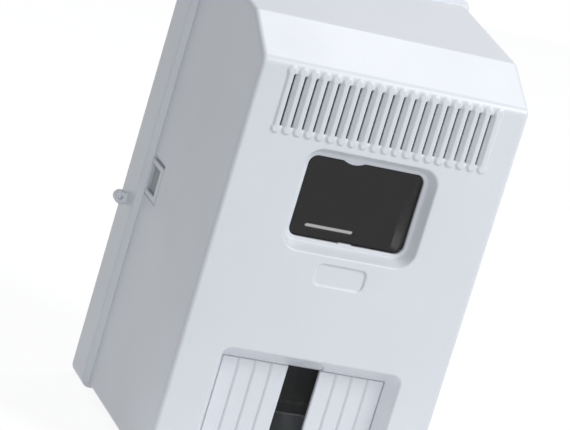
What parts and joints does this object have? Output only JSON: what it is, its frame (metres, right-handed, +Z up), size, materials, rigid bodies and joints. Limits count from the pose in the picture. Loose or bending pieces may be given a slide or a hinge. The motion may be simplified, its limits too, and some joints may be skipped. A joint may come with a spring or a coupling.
{
  "type": "plastic distribution board",
  "caption": "Wall-mounted plastic board: a deep hood with vents, a meter window and blanked breaker openings, clipped over a shallow wall box with meter plate, rail and terminals.",
  "frame": {"origin": "centre of the flat back, in the wall plane", "axes": "+X to the right seen from the front, +Y into the wall, +Z up"},
  "size_m": [0.1658, 0.1393, 0.2512],
  "materials": {
    "hood_plastic": "moulded ABS, gloss",
    "box_plastic": "moulded ABS, gloss",
    "blank_plastic": "moulded ABS, gloss",
    "pane": "clear polycarbonate",
    "plate_board": "moulded insulating board",
    "zinc": "zinc-plated steel",
    "bar_brass": "drawn brass",
    "neutral_plastic": "moulded polyamide, blue",
    "earth_plastic": "moulded polyamide, green"
  },
  "bodies": {
    "board": {"wall_box": "box_plastic", "meter_plate": "plate_board", "meter_plate_screws": "zinc", "module_rail": "zinc", "rail_screws": "zinc", "rail_bracket_left": "box_plastic", "rail_bracket_right": "box_plastic", "bracket_screws": "zinc", "neutral_bar_holder": "neutral_plastic", "neutral_bar": "bar_brass", "neutral_bar_screws": "zinc", "earth_bar_holder": "earth_plastic", "earth_bar": "bar_brass", "earth_bar_screws": "zinc", "holder_screws": "zinc"},
    "hood": {"hood": "hood_plastic", "window_pane": "pane"},
    "left_blank": {"blanking_plate_left": "blank_plastic"},
    "right_blank": {"blanking_plate_right": "blank_plastic"},
    "hanger": {"meter_hanger": "zinc", "hanger_screw": "zinc", "hanger_nut": "zinc"},
    "left_foot": {"foot_screw_left": "zinc", "foot_nut_left": "zinc"},
    "right_foot": {"foot_screw_right": "zinc", "foot_nut_right": "zinc"}
  },
  "joints": [
    {"name": "hood_slide", "type": "slide", "parent": "board", "child": "hood", "axis": [0, -1, 0], "range_m": [0, 0.1]},
    {"name": "left_blank_slide", "type": "slide", "parent": "hood", "child": "left_blank", "axis": [0, -1, 0], "range_m": [0, 0.03]},
    {"name": "right_blank_slide", "type": "slide", "parent": "hood", "child": "right_blank", "axis": [0, -1, 0], "range_m": [0, 0.03]},
    {"name": "hanger_slide", "type": "slide", "parent": "board", "child": "hanger", "axis": [0, 0, 1], "range_m": [-0.015, 0.008]},
    {"name": "left_foot_slide", "type": "slide", "parent": "board", "child": "left_foot", "axis": [1, 0, 0], "range_m": [-0.01, 0.01]},
    {"name": "right_foot_slide", "type": "slide", "parent": "board", "child": "right_foot", "axis": [1, 0, 0], "range_m": [-0.01, 0.01]}
  ]
}
